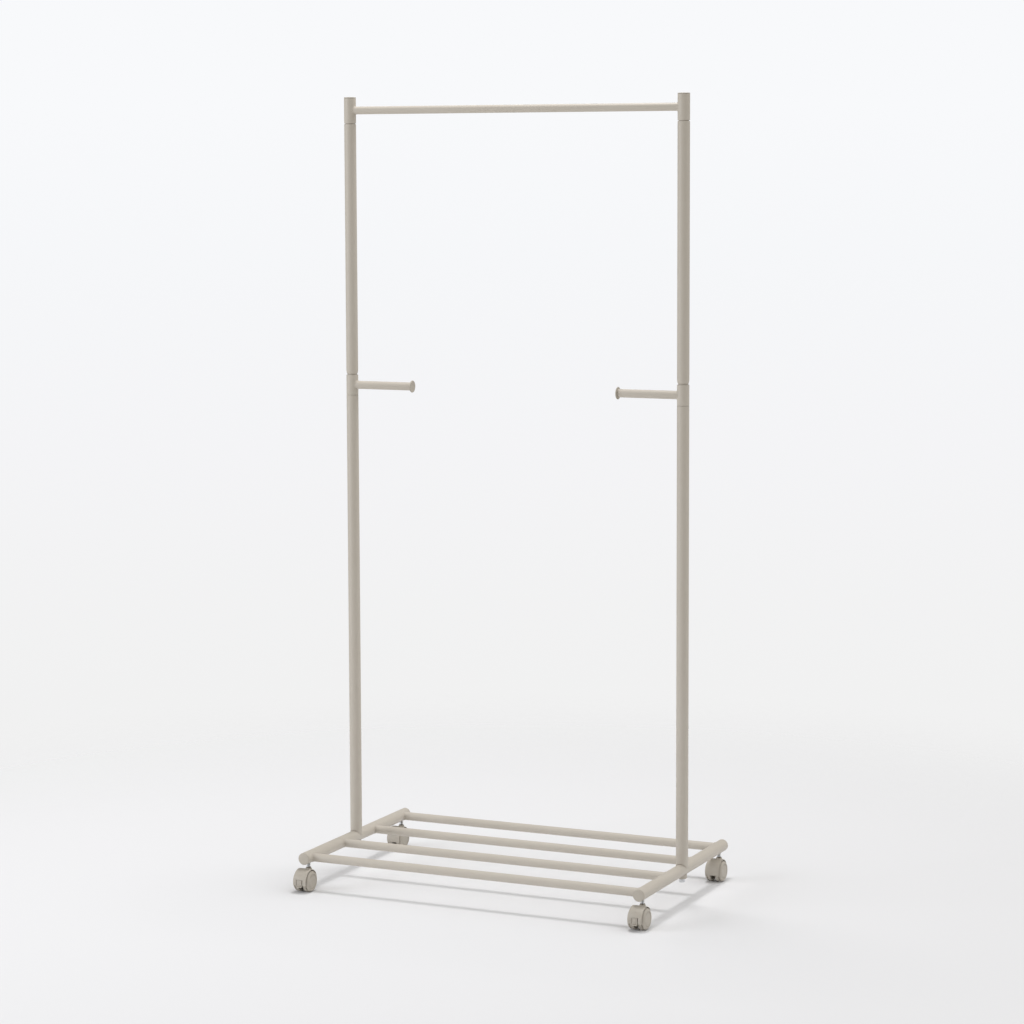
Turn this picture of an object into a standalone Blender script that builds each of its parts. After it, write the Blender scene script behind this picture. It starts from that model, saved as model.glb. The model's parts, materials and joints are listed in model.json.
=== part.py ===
"""Rolling clothes rack: two posts with a hanging rail, two hook arms and a shelf of four bars, on four casters.

Units are metres, +Z is up and the floor is z = 0. X runs from the left post to the right post, Y from the
front to the rear. The origin is on the floor under the middle of the rack's bounding box.
"""
from math import pi, radians, tan

import bmesh
import bpy
from mathutils import Matrix

# ---- driving dimensions ----
GAP = 0.0003                     # clearance between pieces that touch

POST_X = 0.3825                  # each post's axis, from the middle of the rack
TUBE_R = 0.0127                  # posts, side rails and sleeves
TUBE_WALL = 0.0012
SPIGOT_R = TUBE_R - TUBE_WALL - GAP   # drawn-in ends of the posts
SPIGOT_BORE_R = SPIGOT_R - TUBE_WALL

RAIL_Z = 0.070                   # side rail axis
RAIL_HALF = 0.2375               # half the length of a side rail's tube
RAIL_CAP_DEPTH = 0.0032
RAIL_PLUG_DEPTH = 0.0340         # the cap's plug, which also holds a caster's stem
CAP_PLUG_DEPTH = 0.0120          # plugs of the post caps and hook ends

BAR_R = 0.0090                   # shelf bars
BAR_WALL = 0.0010
BAR_COUNT = 4
BAR_PITCH = 0.1436

HANG_Z = 1.648                   # hanging rail axis
HANG_R = 0.0083
HANG_WALL = 0.0010
TOP_SLEEVE_UP = 0.0260           # top sleeve, above and below the hanging rail's axis
TOP_SLEEVE_DOWN = 0.0275
POST_CAP_DEPTH = 0.0025

ARM_Z = 1.0605                   # hook arm axis
ARM_R = 0.0087
ARM_WALL = 0.0010
ARM_REACH = 0.1460               # post axis to the outer face of the end disc
ARM_DISC_R = 0.0130
ARM_DISC_DEPTH = 0.0026
HOOK_SLEEVE_HALF = 0.0215
SHOULDER = 0.0010                # taper from a post to its drawn-in end
LOW_TAPER = 0.0085               # the longer taper at the upper post's lower end
LOW_NECK = 0.0015

SPACER_R = 0.0103                # coped spacer between the side rail and the post bolt
SPACER_BOTTOM_Z = 0.0517
BOLT_R = 0.0030
BOLT_HOLE_R = 0.0034
BOLT_HEAD_R = 0.0062
BOLT_HEAD_DEPTH = 0.0062
HEX_SOCKET_R = 0.0029
HEX_SOCKET_DEPTH = 0.0026
BOLT_TOP_Z = RAIL_Z + 0.036
WASHER_R = 0.0070
WASHER_DEPTH = 0.0012
FOOT_NUT_Z = (RAIL_Z + 0.0155, RAIL_Z + 0.0335)

CASTER_Y = 0.2180                # swivel axis, from the middle of the side rail
TRAIL = 0.0165                   # swivel axis to axle
WHEEL_R = 0.0225
WHEEL_INNER_X = 0.0056           # wheel, from the middle of the caster outwards
WHEEL_OUTER_X = 0.0195
AXLE_R = 0.0030
AXLE_HALF = 0.0170
AXLE_BORE_R = 0.0033
HOOD_R = 0.0254
HOOD_POCKET_R = 0.0240
HOOD_HALF = 0.0153
HOOD_EDGE = 0.0012               # rounding of the hood's outer edges
HOOD_SKIRT_Z = -0.0057           # hood's lower edge at the front, from the axle
HOOD_SKIRT_TILT = radians(5)
WEB_HALF = 0.0049
AXLE_BOSS_R = 0.0070
STEM_BOSS_R = 0.0080
STEM_BOSS_TOP = 0.0226           # from the axle
STEM_PIN_R = 0.0032
STEM_PIN_BORE_R = 0.0036
STEM_PIN_DEPTH = 0.0150
STEM_R = 0.0040
STEM_HOLE_R = 0.0044
STEM_TOP_Z = RAIL_Z + 0.006
COLLAR_R = 0.0052
COLLAR_DEPTH = 0.0038

PEDAL_OUTER_R = 0.0264           # pedal tab, a sector around the axle
PEDAL_HALF = 0.0055
PEDAL_Z = (-0.0088, 0.0062)      # lower and upper edge of the tab, from the axle
PEDAL_LIP = 0.0014
PEDAL_ARM_HALF = 0.0020
PEDAL_ARM_Z = (-0.0020, 0.0050)
PEDAL_HUB_R = 0.0062
PEDAL_GAP = 0.0004

TUBE_SIDES = 20                  # sides of round pieces, in fours so that flats face X, Y and Z
SMALL_SIDES = 12
WHEEL_SIDES = 24
HOOD_SIDES = 28

# ---- derived ----
FRONT_REACH = CASTER_Y + TRAIL + PEDAL_OUTER_R + PEDAL_LIP
REAR_REACH = RAIL_HALF + RAIL_CAP_DEPTH
CENTRE_Y = (FRONT_REACH - REAR_REACH) / 2
SLEEVE_FACE = TUBE_R + GAP
TOP_SLEEVE_LOW = HANG_Z - TOP_SLEEVE_DOWN
HOOK_SLEEVE_LOW = ARM_Z - HOOK_SLEEVE_HALF
HOOK_SLEEVE_HIGH = ARM_Z + HOOK_SLEEVE_HALF
RAIL_BORE_R = TUBE_R - TUBE_WALL
COLLAR_Z = WHEEL_R + STEM_BOSS_TOP + GAP

SIDES = {"left": -1, "right": 1}
ENDS = {"front": -1, "rear": 1}

FACE_X = (0.0, pi / 2, 0.0)      # turns local +Z to +X
FACE_MINUS_X = (0.0, -pi / 2, 0.0)
FACE_Y = (-pi / 2, 0.0, 0.0)     # turns local +Z to +Y
FACE_MINUS_Y = (pi / 2, 0.0, 0.0)


# ---- scene, collections and materials ----
def clear_scene():
    for old in list(bpy.data.objects):
        bpy.data.objects.remove(old, do_unlink=True)


def new_collection(name):
    collection = bpy.data.collections.new(name)
    bpy.context.scene.collection.children.link(collection)
    return collection


def new_material(name, colour, roughness, metallic):
    material = bpy.data.materials.new(name)
    material.use_nodes = True
    shader = material.node_tree.nodes["Principled BSDF"]
    shader.inputs["Base Color"].default_value = (*colour, 1.0)
    shader.inputs["Roughness"].default_value = roughness
    shader.inputs["Metallic"].default_value = metallic
    return material


clear_scene()
RACK = new_collection("rolling_clothes_rack")
CUTTERS = new_collection("cutters")
POWDER_COAT = new_material("powder_coat", (0.515, 0.474, 0.413), 0.55, 0.0)
CAP_PLASTIC = new_material("cap_plastic", (0.500, 0.460, 0.400), 0.60, 0.0)
CASTER_PLASTIC = new_material("caster_plastic", (0.490, 0.450, 0.385), 0.50, 0.0)
ZINC = new_material("zinc", (0.72, 0.73, 0.74), 0.30, 1.0)
DARK_STEEL = new_material("dark_steel", (0.16, 0.12, 0.09), 0.45, 1.0)


def empty(name, location, parent=None):
    marker = bpy.data.objects.new(name, None)
    marker.location = location
    marker.parent = parent
    marker.empty_display_size = 0.02
    RACK.objects.link(marker)
    return marker


# ---- shape helpers ----
def mesh_object(name, mesh, collection=CUTTERS):
    obj = bpy.data.objects.new(name, mesh)
    collection.objects.link(obj)
    obj.display_type = "WIRE"
    obj.hide_render = True
    return obj


def turned(name, profile, sides, ring=False):
    """Spin (radius, height) points about local Z; they run down the outer side. A ring's profile is a loop.

    The profile starts half a side round, so a flat side faces each axis, and each radius is that of the flats.
    """
    mesh = bpy.data.meshes.new(name)
    half_side = tan(pi / sides)
    points = [(r, r * half_side, h) for r, h in profile]
    edges = [(i, i + 1) for i in range(len(points) - 1)]
    if ring:
        edges.append((len(points) - 1, 0))
    mesh.from_pydata(points, edges, [])
    obj = mesh_object(name, mesh)
    spin = obj.modifiers.new("spin", "SCREW")
    spin.axis = "Z"
    spin.steps = sides
    spin.render_steps = sides
    spin.use_merge_vertices = True
    spin.merge_threshold = 0.00001
    return obj


def rod(name, radius, low, high, sides=TUBE_SIDES):
    return turned(name, [(0, high), (radius, high), (radius, low), (0, low)], sides)


def tube(name, radius, bore, low, high, sides=TUBE_SIDES):
    return turned(name, [(radius, high), (radius, low), (bore, low), (bore, high)], sides, ring=True)


def block(name, low, high):
    mesh = bpy.data.meshes.new(name)
    shape = bmesh.new()
    bmesh.ops.create_cube(shape, size=1.0)
    size = [b - a for a, b in zip(low, high)]
    middle = [(a + b) / 2 for a, b in zip(low, high)]
    bmesh.ops.transform(shape, matrix=Matrix.Translation(middle) @ Matrix.Diagonal((*size, 1)), verts=shape.verts)
    shape.to_mesh(mesh)
    shape.free()
    return mesh_object(name, mesh)


def place(obj, location=(0, 0, 0), rotation=(0, 0, 0)):
    obj.location = location
    obj.rotation_euler = rotation
    return obj


def combine(obj, other, operation):
    step = obj.modifiers.new(operation.lower(), "BOOLEAN")
    step.operation = operation
    step.object = other
    step.solver = "EXACT"
    return obj


def cut(obj, *cutters):
    for cutter in cutters:
        combine(obj, cutter, "DIFFERENCE")
    return obj


def join(obj, *others):
    for other in others:
        combine(obj, other, "UNION")
    return obj


def settle(obj, shift=(0, 0, 0)):
    """The finished mesh in world axes, moved by shift, with its modifiers applied and round sides smooth."""
    bpy.context.view_layer.update()
    evaluated = obj.evaluated_get(bpy.context.evaluated_depsgraph_get())
    mesh = bpy.data.meshes.new_from_object(evaluated)
    mesh.transform(Matrix.Translation(shift) @ obj.matrix_world)
    tidy = bmesh.new()
    tidy.from_mesh(mesh)
    bmesh.ops.remove_doubles(tidy, verts=tidy.verts, dist=0.00001)
    tidy.to_mesh(mesh)
    tidy.free()
    mesh.shade_smooth()
    mesh.set_sharp_from_angle(angle=radians(35))
    return mesh


def part(name, mesh, material, parent, location=(0, 0, 0), rotation=(0, 0, 0)):
    """A finished sub-part. Copies of a piece share their mesh."""
    if not mesh.materials:
        mesh.materials.append(material)
    obj = bpy.data.objects.new(name, mesh)
    obj.parent = parent
    place(obj, location, rotation)
    RACK.objects.link(obj)
    return obj


# ---- frame ----
def capped_plug(name, flange_r, flange_depth, bore, plug_depth, edge):
    """A flanged plug along local +Z: its flange sits on the tube's end at z = 0, its plug reaches down inside."""
    profile = [(0, flange_depth), (flange_r - edge, flange_depth), (flange_r, flange_depth - edge), (flange_r, GAP),
               (bore - GAP, GAP), (bore - GAP, -plug_depth), (0, -plug_depth)]
    return turned(name, profile, TUBE_SIDES)


def side_rails(rack):
    for side, sign in SIDES.items():
        rail = place(tube("rail", TUBE_R, RAIL_BORE_R, -RAIL_HALF, RAIL_HALF), (0, 0, RAIL_Z), FACE_Y)
        cut(rail, rod("bolt_hole", BOLT_HOLE_R, 0, 2 * RAIL_Z, SMALL_SIDES))
        for end in ENDS.values():
            cut(rail, place(rod("stem_hole", STEM_HOLE_R, 0, RAIL_Z, SMALL_SIDES), (0, end * CASTER_Y, 0)))
        part(f"{side}_side_rail", settle(rail), POWDER_COAT, rack, (sign * POST_X, 0, 0))


def rail_caps(rack):
    """The plug inside the side rail is long enough to hold the caster's stem."""
    plug = place(capped_plug("rail_cap", TUBE_R, RAIL_CAP_DEPTH, RAIL_BORE_R, RAIL_PLUG_DEPTH, 0.0016),
                 (0, RAIL_HALF, 0), FACE_Y)
    cut(plug, place(rod("stem_hole", STEM_HOLE_R, -TUBE_R, TUBE_R, SMALL_SIDES), (0, CASTER_Y, 0)))
    mesh = settle(plug, (0, -RAIL_HALF, 0))
    for end, way in ENDS.items():
        for side, sign in SIDES.items():
            part(f"rail_cap_{end}_{side}", mesh, CAP_PLASTIC, rack,
                 (sign * POST_X, way * RAIL_HALF, RAIL_Z), (0, 0, 0) if way > 0 else (0, 0, pi))


def coped_bar(name, radius, wall, post_axis, height, reach=POST_X):
    """A tube along X whose ends fit round the tubes at x = +-reach, which run along post_axis."""
    bar = place(tube(f"{name}_tube", radius, radius - wall, -reach, reach), (0, 0, height), FACE_X)
    for sign in SIDES.values():
        rotation = FACE_Y if post_axis == "Y" else (0, 0, 0)
        saddle = rod("saddle", SLEEVE_FACE, -0.05, 0.05)
        cut(bar, place(saddle, (sign * reach, 0, height), rotation))
    return bar


def shelf_bars(rack):
    mesh = settle(coped_bar("shelf_bar", BAR_R, BAR_WALL, "Y", RAIL_Z))
    for index in range(BAR_COUNT):
        y = (index - (BAR_COUNT - 1) / 2) * BAR_PITCH
        part(f"shelf_bar_{index + 1}", mesh, POWDER_COAT, rack, (0, y, 0))


def hanging_rail(rack):
    part("top_rail", settle(coped_bar("top_rail", HANG_R, HANG_WALL, "Z", HANG_Z)), POWDER_COAT, rack)


def lower_posts(rack):
    """The foot fits over the side rail, and the drawn-in upper end goes up inside the hook sleeve."""
    joint = HOOK_SLEEVE_LOW - GAP
    head = ARM_Z - 0.001
    post = turned("lower_post", [(SPIGOT_R, head), (SPIGOT_R, joint), (TUBE_R, joint - SHOULDER), (TUBE_R, RAIL_Z),
                                 (RAIL_BORE_R, RAIL_Z), (RAIL_BORE_R, joint - SHOULDER), (SPIGOT_BORE_R, joint),
                                 (SPIGOT_BORE_R, head)], TUBE_SIDES, ring=True)
    cut(post, place(rod("saddle", SLEEVE_FACE, -0.05, 0.05), (0, 0, RAIL_Z), FACE_Y))
    mesh = settle(post)
    for side, sign in SIDES.items():
        part(f"{side}_lower_post", mesh, POWDER_COAT, rack, (sign * POST_X, 0, 0))


def upper_posts(rack):
    """Both ends are drawn in, to slide inside the hook sleeve and the top sleeve."""
    foot = ARM_Z + 0.001
    neck = HOOK_SLEEVE_HIGH + LOW_NECK
    taper = neck + LOW_TAPER
    joint = TOP_SLEEVE_LOW - GAP
    head = HANG_Z - 0.001
    outer = [(SPIGOT_R, head), (SPIGOT_R, joint), (TUBE_R, joint - SHOULDER), (TUBE_R, taper), (SPIGOT_R, neck),
             (SPIGOT_R, foot)]
    inner = [(SPIGOT_BORE_R, foot), (SPIGOT_BORE_R, neck), (RAIL_BORE_R, taper), (RAIL_BORE_R, joint - SHOULDER),
             (SPIGOT_BORE_R, joint), (SPIGOT_BORE_R, head)]
    mesh = settle(turned("upper_post", outer + inner, TUBE_SIDES, ring=True))
    for side, sign in SIDES.items():
        part(f"{side}_upper_post", mesh, POWDER_COAT, rack, (sign * POST_X, 0, 0))


def sleeves(rack):
    hook = settle(tube("hook_sleeve", TUBE_R, RAIL_BORE_R, HOOK_SLEEVE_LOW, HOOK_SLEEVE_HIGH))
    top = settle(tube("top_sleeve", TUBE_R, RAIL_BORE_R, TOP_SLEEVE_LOW, HANG_Z + TOP_SLEEVE_UP))
    for side, sign in SIDES.items():
        part(f"{side}_hook_sleeve", hook, POWDER_COAT, rack, (sign * POST_X, 0, 0))
        part(f"{side}_top_sleeve", top, POWDER_COAT, rack, (sign * POST_X, 0, 0))


def post_caps(rack):
    mesh = settle(capped_plug("post_cap", TUBE_R, POST_CAP_DEPTH, RAIL_BORE_R, CAP_PLUG_DEPTH, 0.0006))
    for side, sign in SIDES.items():
        part(f"{side}_post_cap", mesh, CAP_PLASTIC, rack, (sign * POST_X, 0, HANG_Z + TOP_SLEEVE_UP))


def hook_arms(rack):
    """Each arm points to the other post; its end disc keeps a hanger from sliding off."""
    length = ARM_REACH - ARM_DISC_DEPTH
    arm = place(tube("hook_arm", ARM_R, ARM_R - ARM_WALL, 0, length), (0, 0, ARM_Z), FACE_X)
    cut(arm, rod("saddle", SLEEVE_FACE, ARM_Z - 0.05, ARM_Z + 0.05))
    mesh = settle(arm, (0, 0, -ARM_Z))
    disc = settle(capped_plug("hook_end", ARM_DISC_R, ARM_DISC_DEPTH, ARM_R - ARM_WALL, CAP_PLUG_DEPTH, 0.0012))
    for side, sign in SIDES.items():
        turn = (0, 0, 0) if sign < 0 else (0, 0, pi)
        part(f"{side}_hook_arm", mesh, POWDER_COAT, rack, (sign * POST_X, 0, ARM_Z), turn)
        part(f"{side}_hook_end", disc, CAP_PLASTIC, rack, (sign * (POST_X - length), 0, ARM_Z),
             FACE_X if sign < 0 else FACE_MINUS_X)


def post_feet(rack):
    """A bolt goes up through a coped spacer and the side rail into a threaded plug in the post."""
    spacer = tube("foot_spacer", SPACER_R, BOLT_HOLE_R, SPACER_BOTTOM_Z, RAIL_Z)
    cut(spacer, place(rod("saddle", SLEEVE_FACE, -0.05, 0.05), (0, 0, RAIL_Z), FACE_Y))
    washer_top = SPACER_BOTTOM_Z - GAP
    washer_low = washer_top - WASHER_DEPTH
    head_top = washer_low - GAP
    head_low = head_top - BOLT_HEAD_DEPTH
    chamfer = 0.0006
    bolt = turned("bolt", [(0, BOLT_TOP_Z), (BOLT_R, BOLT_TOP_Z), (BOLT_R, head_top), (BOLT_HEAD_R, head_top),
                           (BOLT_HEAD_R, head_low + chamfer), (BOLT_HEAD_R - chamfer, head_low), (0, head_low)],
                  SMALL_SIDES)
    cut(bolt, rod("hex_socket", HEX_SOCKET_R, head_low - 0.001, head_low + HEX_SOCKET_DEPTH, 6))
    pieces = {
        "foot_spacer": (settle(spacer), CAP_PLASTIC),
        "post_bolt": (settle(bolt), ZINC),
        "bolt_washer": (settle(tube("washer", WASHER_R, BOLT_HOLE_R, washer_low, washer_top, SMALL_SIDES)), ZINC),
        "foot_nut": (settle(tube("foot_nut", SPIGOT_R, BOLT_HOLE_R, *FOOT_NUT_Z)), ZINC),
    }
    for name, (mesh, material) in pieces.items():
        for side, sign in SIDES.items():
            part(f"{side}_{name}", mesh, material, rack, (sign * POST_X, 0, 0))


# ---- casters ----
def stem_mesh():
    """Swivel pin, then the threaded stem that goes up into the side rail's nut; local z = 0 is the floor."""
    pin_low = WHEEL_R + STEM_BOSS_TOP - STEM_PIN_DEPTH + 0.001
    profile = [(0, STEM_TOP_Z), (STEM_R - 0.0006, STEM_TOP_Z), (STEM_R, STEM_TOP_Z - 0.0006), (STEM_R, COLLAR_Z),
               (STEM_PIN_R, COLLAR_Z), (STEM_PIN_R, pin_low), (0, pin_low)]
    return settle(turned("stem", profile, SMALL_SIDES))


def wheel_mesh():
    """One half of the twin wheel; local +Z is its outer side, and its lowest flat is on the floor."""
    face = WHEEL_OUTER_X
    back = WHEEL_INNER_X
    bore_end = AXLE_HALF + GAP
    profile = [(0, face), (0.0150, face), (0.0205, face - 0.0010), (WHEEL_R, face - 0.0034), (WHEEL_R, back),
               (0.0190, back), (0.0185, back + 0.0045), (0.0080, back + 0.0045), (0.0075, back - GAP),
               (AXLE_BORE_R, back - GAP), (AXLE_BORE_R, bore_end), (0, bore_end)]
    return settle(turned("wheel", profile, WHEEL_SIDES))


def around_axle(name, outer, inner, half, sides=HOOD_SIDES):
    """A ring about the axle, which lies along X through the origin."""
    return place(tube(name, outer, inner, -half, half, sides), rotation=FACE_X)


def pin_along_x(name, radius, low, high, sides=HOOD_SIDES):
    return place(rod(name, radius, low, high, sides), rotation=FACE_X)


def hood_mesh(braked):
    """Fender over both treads, the web between the wheels and the stem's boss, with the axle at the origin."""
    inset = HOOD_R - HOOD_EDGE
    half = HOOD_HALF
    drum = turned("hood", [(0, half), (inset, half), (HOOD_R, half - HOOD_EDGE), (HOOD_R, HOOD_EDGE - half),
                           (inset, -half), (0, -half)], HOOD_SIDES)
    place(drum, rotation=FACE_X)
    join(drum, place(rod("stem_boss", STEM_BOSS_R, 0, STEM_BOSS_TOP, TUBE_SIDES), (0, TRAIL, 0)))
    for sign in SIDES.values():
        ends = sorted((sign * WEB_HALF, sign * 0.04))
        cut(drum, pin_along_x("wheel_pocket", HOOD_POCKET_R, *ends))
    below = block("below_skirt", (-0.05, -0.06, -0.06), (0.05, 0.06, 0))
    cut(drum, place(below, (0, 0, HOOD_SKIRT_Z + HOOD_R * tan(HOOD_SKIRT_TILT)), (HOOD_SKIRT_TILT, 0, 0)))
    join(drum, pin_along_x("axle_boss", AXLE_BOSS_R, -WEB_HALF + GAP, WEB_HALF - GAP, TUBE_SIDES))
    stem_bore = rod("stem_bore", STEM_PIN_BORE_R, STEM_BOSS_TOP - STEM_PIN_DEPTH, STEM_BOSS_TOP + 0.01, SMALL_SIDES)
    cut(drum, place(stem_bore, (0, TRAIL, 0)), pin_along_x("axle_bore", AXLE_BORE_R, -0.04, 0.04, SMALL_SIDES))
    if braked:
        window = around_axle("tab_window", HOOD_R + 0.01, HOOD_POCKET_R - PEDAL_GAP, PEDAL_HALF + PEDAL_GAP)
        combine(window, block("window_limit", (-0.02, -0.05, -0.05), (0.02, 0, PEDAL_Z[1] + 0.0006)), "INTERSECT")
        arm_slot = block("arm_slot", (-PEDAL_ARM_HALF - PEDAL_GAP, -0.03, -0.03),
                         (PEDAL_ARM_HALF + PEDAL_GAP, 0, PEDAL_ARM_Z[1] + 0.0008))
        hub_room = pin_along_x("hub_room", PEDAL_HUB_R + 0.0008, -PEDAL_ARM_HALF - PEDAL_GAP,
                               PEDAL_ARM_HALF + PEDAL_GAP, TUBE_SIDES)
        cut(drum, window, arm_slot, hub_room)
    return settle(drum, (0, -TRAIL, 0))


def pedal_mesh():
    """Brake pedal: a tab in the hood's front window on an arm that turns about the axle."""
    tab = around_axle("pedal", PEDAL_OUTER_R, HOOD_POCKET_R + PEDAL_GAP, PEDAL_HALF)
    combine(tab, block("tab_limit", (-0.02, -0.05, PEDAL_Z[0]), (0.02, 0, PEDAL_Z[1])), "INTERSECT")
    lip_y = -PEDAL_OUTER_R
    lip = block("lip", (-PEDAL_HALF + 0.0006, lip_y - PEDAL_LIP, PEDAL_Z[0] + 0.0002),
                (PEDAL_HALF - 0.0006, lip_y + 0.0022, PEDAL_Z[0] + 0.0024))
    hub = pin_along_x("hub", PEDAL_HUB_R, -PEDAL_ARM_HALF, PEDAL_ARM_HALF, TUBE_SIDES)
    arm = block("arm", (-PEDAL_ARM_HALF + 0.0001, -HOOD_POCKET_R - 2 * PEDAL_GAP, PEDAL_ARM_Z[0]),
                (PEDAL_ARM_HALF - 0.0001, 0, PEDAL_ARM_Z[1]))
    join(tab, lip, arm, hub)
    cut(tab, pin_along_x("axle_bore", AXLE_BORE_R, -0.04, 0.04, SMALL_SIDES))
    return settle(tab)


def casters(rack):
    stem = stem_mesh()
    wheel = wheel_mesh()
    hoods = {"front": hood_mesh(True), "rear": hood_mesh(False)}
    pedal = pedal_mesh()
    axle = settle(place(rod("axle", AXLE_R, -AXLE_HALF, AXLE_HALF, SMALL_SIDES), rotation=FACE_X))
    collar = settle(tube("collar", COLLAR_R, STEM_HOLE_R, COLLAR_Z, COLLAR_Z + COLLAR_DEPTH, SMALL_SIDES))
    for end, way in ENDS.items():
        for side, sign in SIDES.items():
            label = f"{end}_{side}"
            base = (sign * POST_X, way * CASTER_Y, 0)
            part(f"stem_{label}", stem, ZINC, rack, base)
            part(f"stem_collar_{label}", collar, DARK_STEEL, rack, base)
            swivel = empty(f"swivel_{label}", base, rack)
            part(f"hood_{label}", hoods[end], CASTER_PLASTIC, swivel, (0, 0, WHEEL_R))
            axle_line = empty(f"axle_line_{label}", (0, -TRAIL, WHEEL_R), swivel)
            part(f"axle_{label}", axle, ZINC, axle_line)
            part(f"left_wheel_{label}", wheel, CASTER_PLASTIC, axle_line, rotation=FACE_MINUS_X)
            part(f"right_wheel_{label}", wheel, CASTER_PLASTIC, axle_line, rotation=FACE_X)
            if end == "front":
                part(f"brake_pedal_{label}", pedal, CASTER_PLASTIC, axle_line)


def remove_cutters():
    for cutter in list(CUTTERS.objects):
        bpy.data.objects.remove(cutter, do_unlink=True)


def build():
    rack = empty("rack_middle", (0, CENTRE_Y, 0))
    side_rails(rack)
    rail_caps(rack)
    shelf_bars(rack)
    hanging_rail(rack)
    lower_posts(rack)
    upper_posts(rack)
    sleeves(rack)
    post_caps(rack)
    hook_arms(rack)
    post_feet(rack)
    casters(rack)
    remove_cutters()


build()
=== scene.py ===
"""Looks of the rolling clothes rack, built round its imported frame.

Units are metres, in the frame's own axes: X from the left post to the right post, Y from the front to the
rear, Z up from the floor. Sizes and places come from the frame; the values below are only fine detail.
"""
import json
from math import cos, pi, radians, sin, sqrt, tau

import bmesh
import bpy
from mathutils import Matrix, Vector


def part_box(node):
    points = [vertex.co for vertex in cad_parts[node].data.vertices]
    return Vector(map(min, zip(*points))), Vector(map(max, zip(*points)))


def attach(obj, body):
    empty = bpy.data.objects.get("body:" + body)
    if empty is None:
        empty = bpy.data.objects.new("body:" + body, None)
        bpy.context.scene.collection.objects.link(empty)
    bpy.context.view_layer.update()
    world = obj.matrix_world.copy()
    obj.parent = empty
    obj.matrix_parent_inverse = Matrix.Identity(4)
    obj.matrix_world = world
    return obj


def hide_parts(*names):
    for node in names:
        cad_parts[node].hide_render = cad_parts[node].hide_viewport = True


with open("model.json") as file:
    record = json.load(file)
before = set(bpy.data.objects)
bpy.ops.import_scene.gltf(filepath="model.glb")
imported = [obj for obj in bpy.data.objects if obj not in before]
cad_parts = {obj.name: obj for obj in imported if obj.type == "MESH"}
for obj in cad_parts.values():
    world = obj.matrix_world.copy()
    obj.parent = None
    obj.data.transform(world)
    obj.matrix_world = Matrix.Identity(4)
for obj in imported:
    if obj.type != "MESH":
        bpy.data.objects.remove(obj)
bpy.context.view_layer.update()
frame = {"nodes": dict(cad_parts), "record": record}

SIDES = {"left": -1, "right": 1}
ENDS = ("front", "rear")
CORNERS = [(end, side) for end in ENDS for side in SIDES]
BRAKED_END = "front"


# ---- places and sizes, from the frame ----
def middle(node):
    low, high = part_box(node)
    return (low + high) / 2


def extent(node):
    low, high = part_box(node)
    return high - low


POST_X = middle("right_lower_post").x
POST_Y = middle("right_lower_post").y
RAIL_Z = middle("right_side_rail").z
HANG_Z = middle("top_rail").z
ARM_Z = middle("right_hook_arm").z
TUBE_R = extent("right_lower_post").x / 2
BAR_R = extent("shelf_bar_1").z / 2
HANG_R = extent("top_rail").z / 2
ARM_R = extent("right_hook_arm").z / 2
WHEEL_R = extent("left_wheel_front_left").z / 2

# ---- fine detail ----
FIT = 0.0003                     # clearance between pieces that touch
EDGE = 0.0003                    # rounding of sawn tube ends
TUBE_WALL = 0.0012
BAR_WALL = 0.0010
TUBE_BORE_R = TUBE_R - TUBE_WALL
NECK_R = TUBE_BORE_R - FIT       # a post's drawn-in end, inside a sleeve
NECK_BORE_R = NECK_R - TUBE_WALL
ARM_BORE_R = ARM_R - BAR_WALL
BOLT_BORE_R = 0.0034
AXLE_BORE_R = 0.0033

BEAD_R = 0.0019                  # weld beads
BEAD_SINK = 0.0006
BEAD_RIPPLE = 0.00010
BEAD_RIPPLE_PITCH = 0.0019
BEAD_STEPS = 6                   # steps in one ripple
BEAD_SIDES = 14

ROUND = 72                       # sides of the tubes
FINE = 96                        # sides of the casters' round parts
MEDIUM = 56                      # sides of their bosses and hubs
COARSE = 40                      # sides of bores and pins
MERGE = 1e-6                     # points closer than this become one
SHARP = radians(38)              # sharper edges than this aren't smoothed
BEVEL_MERGE = 0.00004            # before a bevel, points closer than this become one
BEVEL_SHARP = radians(40)        # sharper edges than this get the bevel

ALONG_X = Matrix.Rotation(pi / 2, 4, "Y")        # turns local +Z to +X
ALONG_MINUS_X = Matrix.Rotation(-pi / 2, 4, "Y")
ALONG_Y = Matrix.Rotation(-pi / 2, 4, "X")
ALONG_MINUS_Y = Matrix.Rotation(pi / 2, 4, "X")


def shift(x=0.0, y=0.0, z=0.0):
    return Matrix.Translation((x, y, z))


# ---- mesh helpers ----
def tidy_mesh(name, points, faces):
    mesh = bpy.data.meshes.new(name)
    mesh.from_pydata(points, [], faces)
    return polish(mesh)


def polish(mesh, merge=MERGE):
    """Merges doubled points, turns the faces outwards and smooths all but the sharp edges."""
    shape = bmesh.new()
    shape.from_mesh(mesh)
    bmesh.ops.remove_doubles(shape, verts=shape.verts, dist=merge)
    bmesh.ops.dissolve_degenerate(shape, edges=shape.edges, dist=merge)
    bmesh.ops.recalc_face_normals(shape, faces=shape.faces)
    shape.to_mesh(mesh)
    shape.free()
    mesh.shade_smooth()
    mesh.set_sharp_from_angle(angle=SHARP)
    return mesh


def spun(name, outline, sides=ROUND, ring=True, place=Matrix()):
    """A closed surface round local Z.

    The outline is a list of (radius, height) points, or a function of the angle that gives such a list. For a
    ring it is a loop; otherwise it starts and ends on local Z.
    """
    points = []
    faces = []
    for step in range(sides):
        angle = tau * step / sides
        row = outline(angle) if callable(outline) else outline
        points += [place @ Vector((r * cos(angle), r * sin(angle), h)) for r, h in row]
    count = len(points) // sides
    spans = count if ring else count - 1
    for step in range(sides):
        here = step * count
        there = (step + 1) % sides * count
        for i in range(spans):
            j = (i + 1) % count
            faces.append((here + i, here + j, there + j, there + i))
    return tidy_mesh(name, points, faces)


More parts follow.
